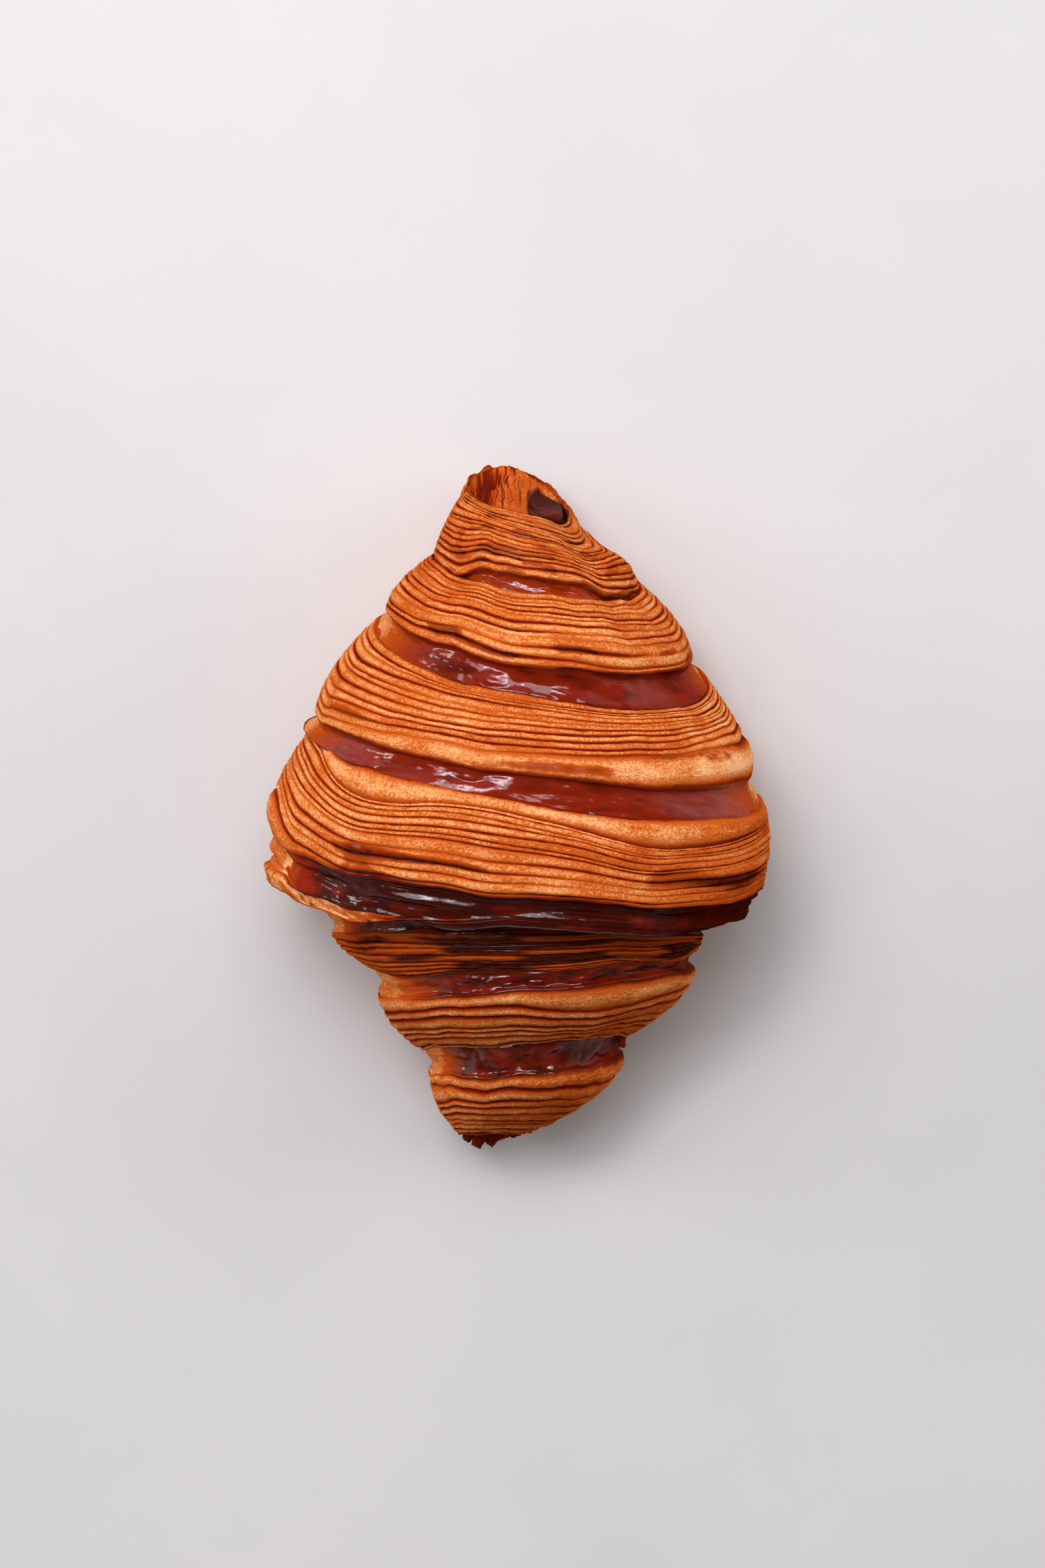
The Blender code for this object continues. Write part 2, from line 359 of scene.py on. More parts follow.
# %% [markdown]
# The glazed face steps down a little under the last layer, then swells towards the crease. The
# film on it has puckered across the band on most turns. On the last turn it ran in long folds
# along the band, and rolls over into the lip.

# %% Rows of a glazed face
FACE_ROWS = 28
FACE_DIP = 1.15 * MM
LIP_ROLLS = 1.7 * MM  # how far the last face rolls over
ROLL_STARTS = 0.45  # share of the last face
FILM_TORN = -66  # degrees: left of this the last face has lost its film
PUCKERS_OF_TURN = (0.50, 0.50, 0.30, 0.50, 0.50, 0.50, 0.50)  # millimetres


def strip_share():
    """1 where the cut strip under the lip shows, on the left."""
    return between(-140, -110, -38, -8)


def flap_share():
    """1 on the matt flap at the left end of the lip."""
    return between(-106, -92, FILM_TORN, FILM_TORN + 3)


def painted_crease_shade(amount):
    """Painted shade in the creases: full on top and half as strong on the sides."""
    return amount * (1 - 0.5 * on_sides(58, 22))


def long_folds(share, seed):
    """The folds of the last face, in millimetres, with fine crumples next to the tear."""
    crumpled = between(FILM_TORN, FILM_TORN + 4, -45, -20)
    return (0.70 * patches(share, (11, 5), seed + 5)
            + 0.38 * patches(share, (26, 8), seed + 6)
            + 0.24 * crumpled * patches(share, (140, 10), seed + 9))


def puckers(number, share, seed):
    """The puckers across the other faces, in millimetres."""
    return (PUCKERS_OF_TURN[number] * patches(share, (26, 2), seed + 5)
            + 0.45 * np.abs(patches(share, (48, 3), seed + 6)))


def glazed_face_rows(number, rim, heel, seed):
    rows = []
    for share in np.linspace(0, 1, FACE_ROWS):
        if number == LAST_TURN:
            fold = long_folds(share, seed)
            rolled = max(0, (share - ROLL_STARTS) / (1 - ROLL_STARTS)) ** 2
            rolled = rolled * (1 - 0.7 * strip_share())
        else:
            fold, rolled = puckers(number, share, seed), 0
        fold = fold + 0.09 * patches(share, (110, 7), seed + 7)
        edge = ease(min(share, 1 - share) * 6)
        # the last rows of a face darken into the crease: painted shade
        rows.append(make_row(
            ring_between(rim, heel, share), glaze=1, across=1 + share,
            relief=(MM * fold * (0.3 + 0.7 * edge) - LIP_ROLLS * rolled
                    - FACE_DIP * math.sin(math.pi * share ** 0.55) ** 1.2),
            groove=painted_crease_shade(0.9 * ease((share - 0.92) / 0.08))))
    return rows


# %% Rows that close a turn, in its neighbours or at a tip
DOME = 0.024  # of the half length
DOME_ROWS = 18
# (size of the ring, how far inside the mouth) of the wall behind the pleats
MOUTH_WALL = [(0.95, 0.0), (0.90, 0.012), (0.86, 0.05), (0.5, 0.09)]


def sway(number, cells, reach, seed):
    """How far a boundary wanders, in half lengths, from a reach in millimetres."""
    return reach * MM / (LENGTH / 2) * patches(0, (cells, 1), seed + number)


def smaller_ring(ring, step, squeeze, flattest=0.35):
    """A ring inside another, a step further along the roll."""
    along, left, right, crest, yaw, lean = ring
    middle = (left + right) / 2
    return (along + step, middle + (left - middle) * squeeze,
            middle + (right - middle) * squeeze,
            crest * (flattest + (1 - flattest) * squeeze), yaw, lean)


def inward_rows(ring, step, squeezes):
    """Rows that carry on from a ring until they are out of sight, dark with painted crease
    shade.
    """
    return [make_row(smaller_ring(ring, step * number, squeeze), groove=painted_crease_shade(1))
            for number, squeeze in enumerate(squeezes, start=1)]


def dark_end_rows(foot):
    """Rows that close the dark tip, domed and ringed by the ends of its layers."""
    rows = []
    for count, squeeze in enumerate(np.linspace(0.96, 0.02, DOME_ROWS)):
        ridge = 1 - count % 2
        rows.append(make_row(
            smaller_ring(foot, -DOME * (1 - squeeze ** 2), squeeze), char=0.6,
            relief=MM * (0.45 * ridge + 0.35 * patches(squeeze, (16, 6), 640)),
            groove=0.80 - 0.45 * ridge + 0.2 * patches(squeeze, (12, 6), 641)))
    return rows


def far_char():
    """The far side of the opening is baked more."""
    return 1.3 * on_sides(95, 30)


def ragged_mouth():
    """The edge of the opening, torn a little on its far side."""
    torn = sway(0, 46, 0.55, 801) + sway(0, 97, 0.35, 802)
    return [MOUTH[0] + torn * on_sides(80, 50), *MOUTH[1:]]


def mouth_wall_rows():
    """The wall inside the open tip, behind the pleats. It darkens with depth: painted shade."""
    return [make_row(smaller_ring(MOUTH, -depth, squeeze, flattest=0.3),
                     groove=0.5 + 0.5 * min(1, depth / MOUTH_WALL[1][1]), char=far_char())
            for squeeze, depth in MOUTH_WALL]

# %% [markdown]
# ## The lip of the last turn
# The last turn ends in a free lip. Its edge waves, hangs over the turn below, and shows a thin
# tan strip of cut layers on the left, where the flap stands off. Under it the other cut edge
# runs back to the loaf, layered like the first one. Where the lip hides the strip and that
# edge, both are painted dark as shade.

# %% Lip rows
LIP_LAYERS = 7
LIP_RELIEF = 0.45 * MM
LIP_UNDER = 0.8 * MM  # how much further in the lip's edge goes under itself
FLAP_HEIGHT = 1.6 * MM
FLAP_STANDS = 1.2 * MM
STRIP_WIDTH = (0.2, 2.4)  # millimetres where hidden, and more where it shows
STRIP_ROWS = (0.12, 0.35, 0.6, 0.85, 1.0)
# painted shade: how much darker the strip and the edge under the lip get where the lip hides
# them
UNDER_LIP_SHADE = 2.2  # where the lip hides the strip
# (angle, spread in degrees, how many millimetres the lip's edge runs down there)
LIP_WAVES = [(-12, 8, 1.2), (0, 5, -0.6), (-33, 9, -0.5), (-49, 11, -0.7), (36, 12, 0.5),
             (66, 9, -0.7), (-78, 24, -2.3)]


def lip_wave():
    wave = 0.25 * MM * patches(0, (38, 1), 901)
    for angle, spread, reach in LIP_WAVES:
        wave = wave + reach * MM * bump(angle, spread)
    return wave


def lip_rows(heel, seed):
    """Rows of the cut strip and of the layered edge under it."""
    shown, flap = strip_share(), flap_share()
    width = (STRIP_WIDTH[0] + STRIP_WIDTH[1] * shown) * MM * (1 - 0.4 * flap)
    strip = (width + FLAP_HEIGHT * flap) / (LENGTH / 2)
    along, left, right, crest, yaw, lean = heel
    strip_end = (along - strip, left * 0.985, right * 0.985, crest * 0.985, yaw, lean)
    root = (along - 0.004 - 0.45 * strip, left * 0.76, right * 0.80, crest * 0.87, yaw, lean)
    rows = []
    # where the lip hides the strip its rows are painted dark as shade
    for share in STRIP_ROWS:
        grain = patches(share, (170, 7), seed + 9)
        rows.append(make_row(
            ring_between(heel, strip_end, share), across=2.05 + share * 0.1, tint=0.4 - share,
            relief=(FLAP_STANDS * flap + 0.22 * MM * grain * shown
                    - (LIP_ROLLS + LIP_UNDER * share) * (1 - shown) - 0.4 * MM * shown),
            groove=np.clip(0.20 + 0.50 * grain + 1.6 * (1 - shown), 0, 1),
            char=UNDER_LIP_SHADE * (1 - shown) - 0.30 * shown,
            glaze=1 - ease(shown / 0.3)))
    edge = cut_edge_rows(number=-1, foot=root, rim=ring_between(heel, strip_end, 1.0),
                         layers=LIP_LAYERS, seed=seed + 300, relief=LIP_RELIEF, bulge=1.0)
    # the edge under the lip is painted dark as shade where the strip is hidden
    for row in edge:
        row["relief"] = (row["relief"] * (1 - ease((row["across"] - 0.6) / 0.35))
                         - (LIP_ROLLS + LIP_UNDER) * (1 - shown)
                         * ease(row["across"] / 0.5))
        row["char"] = UNDER_LIP_SHADE * (1 - shown) + 0.3
        row["glaze"] = np.zeros(COLUMNS)
    return rows + edge[::-1] + inward_rows(root, 0.0, (0.9, 0.7, 0.4))

# %% [markdown]
# Now the rows can be stacked. Creases and rims wander, and both turns that meet in a crease
# wander together. The last face is wider and bare at its left end.

# %% All rows of a turn
CREASE_CLOSES = 0.85
CREASE_OVERLAP = 0.008  # of the half length
BARE_CORNER = 2.6 * MM / (LENGTH / 2)
FACE_NARROWS = {0: 0.8}  # share of a face lost on its sides
MOUTH_LAYERS = 4  # of the first turn's layers, those in the edge of the opening
FOOT_STEP, HEEL_STEP = 0.004, 0.016  # of the half length, from row to hidden row
FOOT_SQUEEZES = (0.93, 0.8, 0.5)
HEEL_SQUEEZES = (0.975, 0.93, 0.8, 0.5)


def crease_sway(number):
    """The wandering of the crease at a turn's foot."""
    crease = number if number <= LAST_TURN else number + 1
    return sway(crease, 14, 0.30, 540) + sway(crease, 33, 0.30, 560)


def crease_ring(number):
    """The foot of a turn, drawn in until it meets the heel of its neighbour."""
    away = 1 if number <= LAST_TURN else -1
    foot = TURNS[number]["foot"]
    if not 0 <= number - away < len(TURNS):
        return foot
    heel = TURNS[number - away]["heel"]
    ring = [own + CREASE_CLOSES * (other - own) for own, other in zip(foot, heel)]
    ring[0] = ring[0] + crease_sway(number) + CREASE_OVERLAP * away
    if number == LAST_TURN:
        ring[1] = ring[1] + 0.045 * ease((-45 - DEGREES) / 25)
    return ring


def rim_and_heel(number):
    """The other two rings of a turn, with all their wandering."""
    rim, heel = list(TURNS[number]["rim"]), list(TURNS[number]["heel"])
    rim[0] = rim[0] + sway(number, 17, 0.45, 500) + sway(number, 41, 0.28, 520)
    if number == LAST_TURN:
        rim[0] = rim[0] + sway(number, 31, 0.45, 530) + BARE_CORNER * bump(-84, 14)
        heel[0] = heel[0] + (FLAP_HEIGHT * flap_share() - lip_wave()) / (LENGTH / 2)
    else:
        heel[0] = heel[0] + crease_sway(number + 1 if number < LAST_TURN else number - 1)
    narrow = FACE_NARROWS.get(number, 0) * (1 - between(-50, -25, 22, 47))
    return ring_between(rim, heel, narrow), heel


def mouth_edge_rows(foot, seed):
    edge = cut_edge_rows(-1, ragged_mouth(), foot, MOUTH_LAYERS, seed + 300, bulge=2.0)
    for row in edge:
        row["char"] = far_char() * (1 - row["across"])
    return edge


def turn_rows(number):
    """All rows of a turn, from the end nearest the open tip."""
    layers, seed = TURNS[number]["layers"], 40 * (number + 1)
    foot, (rim, heel) = crease_ring(number), rim_and_heel(number)
    away = 1 if number <= LAST_TURN else -1
    if number == 0:
        layers -= MOUTH_LAYERS
        start = mouth_wall_rows()[::-1] + mouth_edge_rows(foot, seed)
    elif number == len(TURNS) - 1:
        start = dark_end_rows(foot)[::-1]
    else:
        start = inward_rows(foot, FOOT_STEP * away, FOOT_SQUEEZES)[::-1]
    if number == LAST_TURN:
        end = lip_rows(heel, seed)
    else:
        end = inward_rows(heel, -HEEL_STEP * away, HEEL_SQUEEZES)
    rows = (start + cut_edge_rows(number, foot, rim, layers, seed)
            + glazed_face_rows(number, rim, heel, seed) + end)
    return rows if number <= LAST_TURN else rows[::-1]


print("rows of turn 4:", len(turn_rows(LAST_TURN)))

# %% [markdown]
# ## From rows to a mesh
# The rows become the rings of a torus, a closed skin without poles or seams that is quick to
# add even when it is fine. A loft from curves would lose the rows that follow the layers. The
# relief is measured along the smooth loaf's own normals, and dies out towards the table.

# %% Points of a turn
RELIEF_FADES = 9 * MM
# swells of the loaf: angle and spread, place along it and spread, millimetres
SWELLS = [(80, 30, 0.06, 0.13, 1.7), (66, 14, 0.20, 0.05, 0.7), (-58, 22, 0.11, 0.05, 0.6),
          (80, 22, 0.79, 0.05, 1.7)]


def loaf_unevenness(along):
    """Slow swells and dents of the whole loaf, in metres."""
    across = np.clip(along * 0.5 + 0.5, 0, 1)
    broad = 0.50 * patches(across, (9, 9), 11) + 0.22 * patches(across, (19, 20), 12)
    for angle, spread, place, reach, height in SWELLS:
        broad = broad + height * bump(angle, spread) * np.exp(-((along - place) / reach) ** 2)
    return broad * MM


def turn_points(rows):
    """(rows, columns, 3) points, with the relief along the loaf's normals."""
    rings = [np.array([row["ring"][i] for row in rows]) for i in range(6)]
    smooth = ring_points(rings, ANGLES[None])
    down = np.gradient(smooth, axis=0)
    round_it = np.roll(smooth, -1, axis=1) - np.roll(smooth, 1, axis=1)
    normal = np.cross(round_it, down)
    normal /= np.linalg.norm(normal, axis=2, keepdims=True) + 1e-12
    outward = np.sum(normal * (smooth - smooth.mean(axis=1, keepdims=True)), axis=2)
    normal *= np.sign(np.median(outward))
    relief = np.array([row["relief"] for row in rows])
    relief = relief + loaf_unevenness(rings[0])
    fade = ease(smooth[..., 2] / RELIEF_FADES)
    return smooth + normal * (relief * fade)[..., None]


# %% Closed mesh from a grid of points
TORUS_RADIUS = 2


def select_only(piece):
    bpy.ops.object.select_all(action="DESELECT")
    piece.select_set(True)
    bpy.context.view_layer.objects.active = piece


def coordinates(piece):
    places = np.empty(len(piece.data.vertices) * 3)
    piece.data.vertices.foreach_get("co", places)
    return places.reshape(-1, 3)


def store(piece, title, values):
    """Puts a number or a vector on every point of a piece."""
    kind, key = ("FLOAT_VECTOR", "vector") if values.ndim == 2 else ("FLOAT", "value")
    made = piece.data.attributes.new(title, kind, "POINT")
    made.data.foreach_set(key, values.astype(np.float32).ravel())


def make_outward(piece):
    select_only(piece)
    bpy.ops.object.mode_set(mode="EDIT")
    bpy.ops.mesh.select_all(action="SELECT")
    bpy.ops.mesh.normals_make_consistent(inside=False)
    bpy.ops.object.mode_set(mode="OBJECT")
    bpy.ops.object.shade_smooth()


def grid_piece(name, points, values):
    """A closed piece from rows of points, with attributes on them."""
    count, columns = points.shape[:2]
    bpy.ops.mesh.primitive_torus_add(major_segments=columns, minor_segments=count,
                                     major_radius=TORUS_RADIUS, minor_radius=1)
    piece = bpy.context.object
    piece.name = piece.data.name = name
    x, y, z = coordinates(piece).T
    column = np.round(np.arctan2(y, x) / math.tau * columns).astype(int) % columns
    row = np.arctan2(z, np.hypot(x, y) - TORUS_RADIUS) / math.tau * count
    row = np.round(row).astype(int) % count
    piece.data.vertices.foreach_set("co", points[row, column].ravel())
    for title, grid in values.items():
        store(piece, title, grid[row, column])
    make_outward(piece)
    return piece

# %% [markdown]
# ## Colour helpers
# Small helpers build the node trees, so that each finish reads as a list of steps.

# %% Node helpers
SOCKET_KINDS = {"Roll": "NodeSocketVector", "Color": "NodeSocketColor"}


def new_group(name, inputs, outputs):
    """An empty shader group with the named sockets, what it is given and its output node."""
    group = bpy.data.node_groups.new(name, "ShaderNodeTree")
    for way, titles in (("INPUT", inputs), ("OUTPUT", outputs)):
        for title in titles:
            group.interface.new_socket(title, in_out=way,
                                       socket_type=SOCKET_KINDS.get(title, "NodeSocketFloat"))
    given = group.nodes.new("NodeGroupInput").outputs
    return group, given, group.nodes.new("NodeGroupOutput")


def fill(tree, node, links):
    """Fills a node's inputs, from sockets or with plain values."""
    for key, value in links.items():
        if isinstance(value, bpy.types.NodeSocket):
            tree.links.new(value, node.inputs[key])
        else:
            node.inputs[key].default_value = value
    return node


def add_node(tree, kind, links=None, **settings):
    node = tree.nodes.new("ShaderNode" + kind)
    for key, value in settings.items():
        setattr(node, key, value)
    return fill(tree, node, links or {})


def attribute(tree, name, output="Fac"):
    return add_node(tree, "Attribute", attribute_name=name).outputs[output]


def math_node(tree, operation, first, second):
    return add_node(tree, "Math", {0: first, 1: second}, operation=operation).outputs[0]


def mix_colour(tree, amount, first, second):
    return add_node(tree, "Mix", {0: amount, 6: first, 7: second}, data_type="RGBA").outputs[2]


def remap(tree, value, low, high, out_low=0.0, out_high=1.0):
    return add_node(tree, "MapRange",
                    {"Value": value, "From Min": low, "From Max": high,
                     "To Min": out_low, "To Max": out_high},
                    interpolation_type="SMOOTHSTEP").outputs["Result"]


def noise(tree, vector, scale, detail, roughness, distortion=0.0):
    return add_node(tree, "TexNoise",
                    {"Vector": vector, "Scale": scale, "Detail": detail,
                     "Roughness": roughness, "Distortion": distortion}).outputs["Fac"]


def stretch(tree, vector, scale):
    return add_node(tree, "VectorMath", {0: vector, 1: scale},
                    operation="MULTIPLY").outputs[0]


def add_share(tree, base, value, amount, middle=0.5):
    """base + (value - middle) * amount."""
    centred = math_node(tree, "SUBTRACT", value, middle)
    return math_node(tree, "ADD", base, math_node(tree, "MULTIPLY", centred, amount))


# %% [markdown]
# ## Baked layers
# Ridges are golden tan and grooves red-brown, partly browner crust and partly painted shade in
# the gaps between layers, with fine paler specks where flakes have dried and darker streaks
# along the layers. The group takes the groove, the tint of each layer and the toast, and gives
# a colour and a height for the bump. Its pattern follows a "roll" attribute in millimetres,
# round the turn and across it, so the streaks bend with the layers.

# %% Group: baked layers
PALE = (0.82, 0.44, 0.210, 1)
TAN = (0.71, 0.255, 0.072, 1)
ORANGE = (0.53, 0.098, 0.012, 1)
BROWN = (0.30, 0.028, 0.003, 1)
DEEP = (0.150, 0.011, 0.003, 1)


def baked_layers_group():
    group, given, result = new_group("baked layers", ("Roll", "Groove", "Tint", "Toast"),
                                     ("Color", "Height"))
    roll, groove = given["Roll"], given["Groove"]
    streaks = noise(group, stretch(group, roll, (0.12, 0.12, 1.0)), 1.4, 3.0, 0.6)
    broad = noise(group, roll, 0.11, 3.0, 0.5)
    specks = noise(group, stretch(group, roll, (0.7, 0.7, 1.0)), 2.6, 4.0, 0.72)
    toast = given["Toast"]
    for value, amount, middle in ((broad, 1.3, 0.5), (streaks, 1.1, 0.5),
                                  (given["Tint"], 0.14, 0.0), (specks, -2.9, 0.5),
                                  (groove, 0.7, 0.25)):
        toast = add_share(group, toast, value, amount, middle)
    groove = add_share(group, groove, specks, -0.5)
    colour = PALE
    for value, low, high, shade in ((toast, -0.35, 0.25, TAN), (toast, 0.15, 0.75, ORANGE),
                                    (toast, 0.70, 1.45, BROWN), (groove, 0.05, 0.44, ORANGE),
                                    (groove, 0.34, 0.74, BROWN), (groove, 0.64, 1.00, DEEP)):
        colour = mix_colour(group, remap(group, value, low, high), colour, shade)
    height = math_node(group, "ADD", specks, math_node(group, "MULTIPLY", streaks, 0.4))
    fill(group, result, {"Color": colour, "Height": height})
    return group


BAKED_LAYERS = baked_layers_group()
print("group ready:", BAKED_LAYERS.name)

# %% [markdown]
# ## Egg wash
# Where egg was brushed on, the face is dark red-brown under a thin glassy film. The film dries
# in wrinkles across the band, so the window breaks up in it. Its edge is ragged: the mask from
# the mesh is shifted by noise before it is cut off.

# %% Group: egg wash
WASH_RED = (0.220, 0.012, 0.002, 1)
WASH_DARK = (0.040, 0.003, 0.001, 1)
WASH_AMBER = (0.43, 0.062, 0.006, 1)


def egg_wash_group():
    group, given, result = new_group("egg wash", ("Roll", "Mask", "Groove", "Depth"),
                                     ("Color", "Mask", "Film", "Height"))
    roll = given["Roll"]
    thick = noise(group, roll, 0.16, 3.0, 0.5)
    ragged = noise(group, stretch(group, roll, (0.5, 0.5, 1.0)), 0.9, 4.0, 0.6)
    mask = add_share(group, given["Mask"], ragged, 0.5)
    amount = remap(group, mask, 0.22, 0.90)
    mask = remap(group, mask, 0.10, 0.30)
    depth = add_share(group, given["Depth"], thick, 1.2)
    dark = mix_colour(group, remap(group, depth, 0.15, 0.85), WASH_RED, WASH_DARK)
    colour = mix_colour(group, amount, WASH_AMBER, dark)
    # the groove value darkens the wash: mostly painted shade in creases, hollows and gaps
    colour = mix_colour(group, given["Groove"], colour, WASH_DARK)
    film = math_node(group, "MULTIPLY", mask, remap(group, amount, 0, 1, 0.4, 1.0))
    wrinkles = noise(group, stretch(group, roll, (1.0, 1.0, 0.5)), 0.30, 1.5, 0.4, 0.2)
    fine = noise(group, roll, 1.2, 1.0, 0.5)
    height = math_node(group, "ADD", wrinkles, math_node(group, "MULTIPLY", fine, 0.10))
    fill(group, result, {"Color": colour, "Mask": mask, "Film": film, "Height": height})
    return group


EGG_WASH = egg_wash_group()
print("group ready:", EGG_WASH.name)

# %% [markdown]
# ## The crust
# One material covers the loaf. The wash lies over the layers where its mask is, and its film
# is a clear coat. Values on the points decide the rest.

# %% Material of the turns
def new_material(name):
    made = bpy.data.materials.new(name)
    made.use_nodes = True
    return made, made.node_tree, made.node_tree.nodes["Principled BSDF"]


def crust_material():
    made, tree, surface = new_material("laminated_crust")
    roll, groove = attribute(tree, "roll", "Vector"), attribute(tree, "groove")
    toast = attribute(tree, "toast")
    layers = add_node(tree, "Group",
                      {"Roll": roll, "Groove": groove, "Toast": toast,
                       "Tint": attribute(tree, "tint")}, node_tree=BAKED_LAYERS).outputs
    wash = add_node(tree, "Group",
                    {"Roll": roll, "Groove": groove, "Depth": toast,
                     "Mask": attribute(tree, "glaze")}, node_tree=EGG_WASH).outputs
    mask = wash["Mask"]
    film = math_node(tree, "MULTIPLY", wash["Film"], attribute(tree, "gloss"))
    grain = add_node(tree, "Bump", {"Height": layers["Height"], "Strength": 0.6,
                                              "Distance": 0.25 * MM}).outputs[0]
    wrinkles = add_node(tree, "Bump", {"Height": wash["Height"], "Strength": 0.20,
                                                 "Distance": 1.0 * MM}).outputs[0]
    normal = add_node(tree, "Mix", {0: mask, 4: grain, 5: wrinkles},
                      data_type="VECTOR").outputs[1]
    fill(tree, surface, {
        "Base Color": mix_colour(tree, mask, layers["Color"], wash["Color"]),
        "Roughness": remap(tree, mask, 0, 1, 0.50, 0.30),
        "Specular IOR Level": 0.0,
        "Coat Weight": remap(tree, film, 0, 1, 0.01, 0.85),
        "Coat Roughness": 0.12,
        "Coat IOR": 1.5,
        "Normal": normal,
        "Coat Normal": normal,
    })
    return made


CRUST = crust_material()
print("material ready:", CRUST.name)

# %% [markdown]
# ## The seven turns
# Each turn is one closed piece that reaches a little way into its neighbours. The glaze
# doesn't cover every face all the way round: on the last turn it starts ragged on the left.

# %% Where glaze and toast lie
# the fifth turn (0.95) lies under the lip: its toast is partly darker baking, partly painted
# shade from the overhang
TOAST_OF_TURN = (0.48, 0.46, 0.40, 0.44, 0.95, 0.40, 0.48)
# how dark and how thick the wash is, and the angles in degrees where it starts thin, is full,
# starts to thin out again and has gone, from left to right
WASH_OF_TURN = [
    (-0.2, 0.68, -110, -20, 25, 120),
    (0.32, 1.0, -100, -24, 58, 112),
    (0.24, 1.0, -100, -36, 28, 108),
    (0.80, 1.0, -68, -57, 120, 150),
    (0.55, 1.0, -80, -42, 70, 150),
    (0.55, 1.0, -75, -16, 60, 130),
    (0.60, 1.0, -75, -24, 70, 130),
]

# (turn, angle, spread, place across the cut edge, its spread, how much more it is baked)
BAKED_PLACES = [
    (0, 30, 40, 0.45, 0.35, 0.15), (1, 62, 25, 0.55, 0.50, -0.05),
    (1, -60, 25, 0.20, 0.30, 0.30), (2, 62, 26, 0.20, 0.25, 0.35),
    (2, 60, 45, 0.90, 0.12, -0.35), (2, 75, 25, 0.50, 0.50, -0.45),
    (2, -15, 30, 0.10, 0.15, 0.40), (3, 62, 28, 0.80, 0.35, 0.75),
    (3, 68, 22, 0.05, 0.25, 0.85), (2, 38, 10, 0.88, 0.06, 0.45),
    # (4, 25, 52, ...) darkens the fifth turn under the lip: partly darker baking, partly
    # painted shade
    (3, 20, 25, 0.45, 0.12, 0.50), (4, 25, 52, 0.50, 0.90, 1.45),
    (5, 45, 25, 0.25, 0.30, 0.45), (6, 40, 35, 0.40, 0.50, 0.55),
]
FACE_ENDS = 2.01  # across a turn, layers lie from 0 to 1, the face from 1 to 2, then the lip
TURN_REACH = 16 * MM
ROLLS_APART = 90  # millimetres between the turns' places in the pattern
FILM_OF_TURN = (26, 26, 44, 26, 26, 26, 26)  # angle to which the clear film stays thick
LAYER_FILM_OF_TURN = (0.8, 0.4, 0.4, 0.4, 0.4, 0.4, 0.4)


def wash_values(number, across):
    """How thick the wash is, from left to right."""
    thickness, *angles = WASH_OF_TURN[number][1:]
    wash = thickness * between(*angles)
    if number == LAST_TURN:
        torn = FILM_TORN + 2.5 * patches(across / 2, (3, 14), 902)
        wash = np.maximum(wash, 0.6 * ((DEGREES > torn) & (DEGREES < 0)))
    return wash


def toast_values(number, across, char, heights):
    """How far the layers are baked, and how dark the wash on the face is."""
    low = 1 - np.clip(heights / (HEIGHT * 0.5), 0, 1)
    toast = TOAST_OF_TURN[number] + 0.15 * low + 0.1 * across.clip(0, 1) + char
    for turn, angle, spread, place, depth, more in BAKED_PLACES:
        if turn == number:
            inside = np.exp(-((across - place) / depth) ** 2)
            toast = toast + more * bump(angle, spread) * inside
    darkness = WASH_OF_TURN[number][0]
    if number == LAST_TURN:
        darkness = (darkness - 0.65 * ease((-44 - DEGREES) / 16)
                    * (DEGREES > FILM_TORN - 3))
    return np.where((across >= 1) & (across < FACE_ENDS), darkness, toast)


def gloss_values(number, across):
    """The clear film, thin on the sides, on layers and under the lip."""
    gloss = 1 - 0.8 * on_sides(FILM_OF_TURN[number], 34) - 0.6 * (across > FACE_ENDS)
    gloss = np.where(across < 1, LAYER_FILM_OF_TURN[number], 1) * gloss
    if number == LAST_TURN:
        gloss = gloss - 0.5 * ease((DEGREES - 2) / 22)
    return gloss.clip(0, 1)


def finish_values(number, rows, points):
    """Point values for the colours of a turn."""
    groove, tint, glaze, across, char = (
        np.array([row[title] for row in rows]) for title in POINT_VALUES)
    radius = (TURNS[number]["rim"][2] - TURNS[number]["rim"][1]) * WIDTH / 4 / MM
    roll = np.stack([radius * np.cos(ANGLES) + 0 * across, radius * np.sin(ANGLES) + 0 * across,
                     across * TURN_REACH / MM + ROLLS_APART * number], axis=-1)
    return {"groove": groove, "tint": tint, "glaze": glaze * wash_values(number, across),
            "toast": toast_values(number, across, char, points[..., 2]),
            "gloss": gloss_values(number, across), "roll": roll}


# %% Fine lumps on a piece
def add_lumps(piece, size, height, seed):
    """Fine lumps from clouds, with a Displace modifier that is applied."""
    clouds = bpy.data.textures.new(f"clouds_{seed}", "CLOUDS")
    clouds.noise_scale = size
    clouds.noise_depth = 2
    select_only(piece)
    lumps = piece.modifiers.new("lumps", "DISPLACE")
    lumps.texture = clouds
    lumps.texture_coords = "LOCAL"
    lumps.strength = height
    lumps.mid_level = 0.5
    bpy.ops.object.modifier_apply(modifier="lumps")


# %% Make the turns
LUMP_SIZE = 2.2 * MM
LUMP_HEIGHT = 0.35 * MM


def keep_on_table(piece):
    places = coordinates(piece)
    places[:, 2] = np.maximum(places[:, 2], 0)
    piece.data.vertices.foreach_set("co", places.ravel())
    piece.data.update()


pieces = []
for number in range(len(TURNS)):
    rows = turn_rows(number)
    points = turn_points(rows)
    turn = grid_piece(f"turn_{number + 1}", points, finish_values(number, rows, points))
    add_lumps(turn, LUMP_SIZE, LUMP_HEIGHT, number)
    keep_on_table(turn)
    turn.data.materials.append(CRUST)
    pieces.append((turn, "crust"))
    print(turn.name, len(rows), "rows,", len(turn.data.polygons), "faces")


